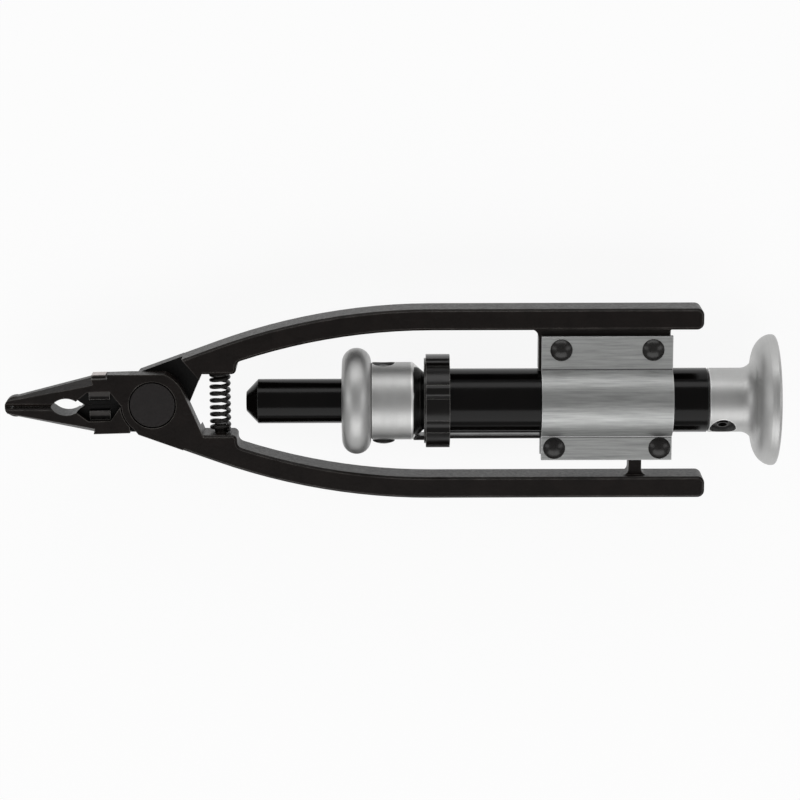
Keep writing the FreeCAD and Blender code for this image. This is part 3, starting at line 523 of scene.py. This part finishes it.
black_wire = fine_metal(
    "black_spring_wire",
    scale=1500,
    dark=(0.006, 0.0055, 0.005),
    light=(0.016, 0.014, 0.013),
    rough_low=0.26,
    rough_high=0.42,
    bump_depth=0.00002,
    metal=0.3,
    gloss=0.3,
    detail=4,
)
low_seat, high_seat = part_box("handle_spring")
middle = (low_seat + high_seat) / 2
lower_end = (middle.x, low_seat.y, middle.z)
upper_end = (middle.x, high_seat.y, middle.z)
handle_coil = wound_wire(
    "handle_coil",
    lower_end,
    upper_end,
    (high_seat.x - low_seat.x) / 2,
    HANDLE_WIRE,
    HANDLE_TURNS,
    flat_turns=1,
    steps=24,
    sides=8,
)
handle_coil.data.materials.append(black_wire)
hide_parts("handle_spring")
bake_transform(handle_coil)


# The tubes: drawn aluminium, turned smooth and anodised a glossy black.
# One guards the spindle in front, and the other is the twister's body.
ANODISED_DARK = (0.0009, 0.0007, 0.0006)
ANODISED_LIGHT = (0.0022, 0.0017, 0.0015)
ANODISED_EDGE = (0.06, 0.06, 0.06)


def black_anodised_tube():
    finish, nodes, links = new_finish("black_anodised_tube")
    place = nodes.new("ShaderNodeTexCoord").outputs["Object"]
    rings = put_noise(nodes, links, place, 1200, 3, (1, 0.05, 0.05))
    haze = put_noise(nodes, links, place, 90, 4)
    base = put_ramp(nodes, links, haze, [(0.3, ANODISED_DARK), (0.75, ANODISED_LIGHT)])
    colour = put_mix(nodes, links, edge_wear_and_highlight(nodes, links, 0.0003), base, ANODISED_EDGE)
    both = put_math(nodes, links, "ADD", rings, haze)
    rough = put_range(nodes, links, both, 0.6, 1.4, 0.13, 0.22)
    close_finish(nodes, links, colour, rough, rings, 0.000006, 0.0, 0.17)
    return finish


dress(black_anodised_tube(), "spindle_tube", "front_guard_tube")


# The bushes: small turned brass rings that the spindle slides in.
# They sit inside the tube, and show only at its end.
turned_brass = fine_metal(
    "turned_brass",
    scale=1500,
    dark=(0.42, 0.27, 0.09),
    light=(0.58, 0.39, 0.15),
    rough_low=0.25,
    rough_high=0.4,
    bump_depth=0.00001,
    metal=1.0,
    stretch=(1, 0.05, 0.05),
    light_at=0.7,
)
dress(turned_brass, "tube_end_bush", "thrust_bush")


# The selector barrel, the finger flange and the pull knob: turned aluminium.
# A light blast and clear anodising leave them satin, with faint turning rings.
# The bracket's distance pieces have the same finish.
SATIN_DARK = (0.45, 0.45, 0.445)
SATIN_LIGHT = (0.52, 0.52, 0.515)
SATIN_EDGE_HIGHLIGHT = (0.85, 0.85, 0.84)
RIM_HIGHLIGHT = (0.80, 0.80, 0.79)
RIM_START_X = 0.0062
RIM_END_X = 0.0067
CONE_START_X = 0.0069
CONE_END_X = 0.0101
CONE_POLISH = 0.30


def satin_aluminium():
    finish, nodes, links = new_finish("satin_aluminium")
    place = nodes.new("ShaderNodeTexCoord").outputs["Object"]
    along = put_apart(nodes, links, place)[0]
    rings = put_noise(nodes, links, place, 1600, 3, (1, 0.03, 0.03))
    grain = put_noise(nodes, links, place, 2600, 3)
    cloud = put_noise(nodes, links, place, 60, 4)
    base = put_ramp(nodes, links, cloud, [(0.3, SATIN_DARK), (0.7, SATIN_LIGHT)])
    # Painted highlight: a bright line along the sharp edges.
    colour = put_mix(nodes, links, edge_wear_and_highlight(nodes, links, 0.0005), base, SATIN_EDGE_HIGHLIGHT)

    # A painted highlight: a narrow bright line where the barrel ends and the cone begins.
    rim_highlight = put_within(nodes, links, along, RIM_START_X, RIM_END_X, 0.0001)
    colour = put_mix(nodes, links, rim_highlight, colour, RIM_HIGHLIGHT)

    # The cone behind the barrel is cut last and left bright, so it mirrors the black ring.
    cone = put_within(nodes, links, along, CONE_START_X, CONE_END_X, 0.0001)
    both = put_math(nodes, links, "ADD", rings, grain)
    satin = put_range(nodes, links, both, 0.6, 1.4, 0.42, 0.54)
    polish = put_math(nodes, links, "MULTIPLY", cone, CONE_POLISH)
    rough = put_math(nodes, links, "SUBTRACT", satin, polish)
    close_finish(nodes, links, colour, rough, both, 0.00001, 1.0)
    return finish


dress(satin_aluminium(), "selector_housing", "finger_flange", "pull_knob", "flange_spacers")


# The selector buttons: black steel pins with domed tops.
# They stand out of the barrel above and below, one on each end of the yoke.
black_button = fine_metal(
    "black_button",
    scale=1500,
    dark=(0.004, 0.0035, 0.003),
    light=(0.009, 0.008, 0.007),
    rough_low=0.28,
    rough_high=0.4,
    bump_depth=0.00001,
    metal=0.0,
    gloss=0.3,
)
dress(black_button, "selector_button_upper", "selector_button_lower")


# The spiral rod, its collar, the two nuts and the yoke: ground and oiled steel.
# They work inside the tube, and the rod shows when the knob is pulled out.
oiled_steel = fine_metal(
    "oiled_steel",
    scale=1500,
    dark=(0.30, 0.29, 0.28),
    light=(0.42, 0.41, 0.40),
    rough_low=0.2,
    rough_high=0.35,
    bump_depth=0.00001,
    metal=1.0,
    stretch=(0.08, 1, 1),
)
dress(
    oiled_steel,
    "spiral_rod",
    "rod_collar",
    "right_hand_nut",
    "left_hand_nut",
    "nut_washer",
    "selector_yoke",
)


# The return spring: thicker black wire, wound round the spindle inside the tube.
# It closes up as the knob is pulled, and pushes the knob home after each pull.
RETURN_WIRE = 0.0008
RETURN_TURNS = 12

low_seat, high_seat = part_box("return_spring")
return_coil = wound_wire(
    "return_coil",
    (low_seat.x, 0, 0),
    (high_seat.x, 0, 0),
    high_seat.z,
    RETURN_WIRE,
    RETURN_TURNS,
    flat_turns=1,
    steps=20,
    sides=8,
)
return_coil.data.materials.append(black_wire)
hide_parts("return_spring")
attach(return_coil, "frame")
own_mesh(return_coil)


# The bracket: two pressed aluminium halves riveted together round the tube.
# Brushing leaves straight lines along it, and each bend shows as a dark line.
BRUSHED_DARK = (0.24, 0.245, 0.245)
BRUSHED_MIDDLE = (0.35, 0.355, 0.35)
BRUSHED_LIGHT = (0.46, 0.465, 0.46)
BRUSHED_EDGE = (0.62, 0.62, 0.62)
BEND_SHADE = (0.12, 0.12, 0.12)
BEND_LOW_Y = 0.00985
BEND_HIGH_Y = 0.01015


def brushed_aluminium():
    finish, nodes, links = new_finish("brushed_aluminium")
    place = nodes.new("ShaderNodeTexCoord").outputs["Object"]
    beside = put_math(nodes, links, "ABSOLUTE", put_apart(nodes, links, place)[1])
    lines = put_noise(nodes, links, place, 3200, 5, (0.03, 1, 1), 0.7)
    drags = put_noise(nodes, links, place, 1500, 5, (0.05, 1, 1), 0.7)
    cloud = put_noise(nodes, links, place, 160, 4, (0.3, 1, 1))
    streaks = put_math(nodes, links, "ADD", put_math(nodes, links, "MULTIPLY", lines, 0.5), drags)
    stops = [(0.45, BRUSHED_DARK), (0.72, BRUSHED_MIDDLE), (1.0, BRUSHED_LIGHT)]
    base = put_ramp(nodes, links, streaks, stops)
    creased = put_within(nodes, links, beside, BEND_LOW_Y, BEND_HIGH_Y, 0.0001)
    folded = put_mix(nodes, links, creased, base, BEND_SHADE)
    colour = put_mix(nodes, links, edge_wear_and_highlight(nodes, links, 0.0004), folded, BRUSHED_EDGE)
    both = put_math(nodes, links, "ADD", lines, cloud)
    rough = put_range(nodes, links, both, 0.7, 1.3, 0.38, 0.56)
    close_finish(nodes, links, colour, rough, streaks, 0.000035, 1.0)
    return finish


dress(brushed_aluminium(), "bracket_front", "bracket_rear")


# The rivets: domed steel heads, burnished dark by the tool that set them.
# The cross screw that holds the knob on its rod has the same dark steel.
burnished_rivet = fine_metal(
    "burnished_rivet",
    scale=1300,
    dark=(0.009, 0.008, 0.0075),
    light=(0.014, 0.0125, 0.012),
    rough_low=0.24,
    rough_high=0.32,
    bump_depth=0.000004,
    metal=0.2,
    detail=4,
)
dress(burnished_rivet, "bracket_rivets", "knob_screw")


# The handle lock: a scalloped black ring on the tube with a flat latch bar.
# Pushed back, its bolt catches the post of the lower handle.
LOCK_DARK = (0.0026, 0.0021, 0.0019)
LOCK_LIGHT = (0.0055, 0.0045, 0.0040)
LOCK_EDGE_HIGHLIGHT = (0.13, 0.125, 0.12)


def lock_black():
    finish, nodes, links = new_finish("lock_black")
    place = nodes.new("ShaderNodeTexCoord").outputs["Object"]
    fine = put_noise(nodes, links, place, 1100, 3)
    haze = put_noise(nodes, links, place, 140, 4)
    base = put_ramp(nodes, links, haze, [(0.3, LOCK_DARK), (0.75, LOCK_LIGHT)])
    # Painted highlight: lighter lines along the sharp edges.
    colour = put_mix(nodes, links, edge_wear_and_highlight(nodes, links, 0.0004), base, LOCK_EDGE_HIGHLIGHT)
    rough = put_range(nodes, links, haze, 0.3, 0.7, 0.16, 0.27)
    close_finish(nodes, links, colour, rough, fine, 0.000005, 0.0, 0.3)
    return finish


dress(lock_black(), "lock_ring", "latch_bar", "latch_bolt")
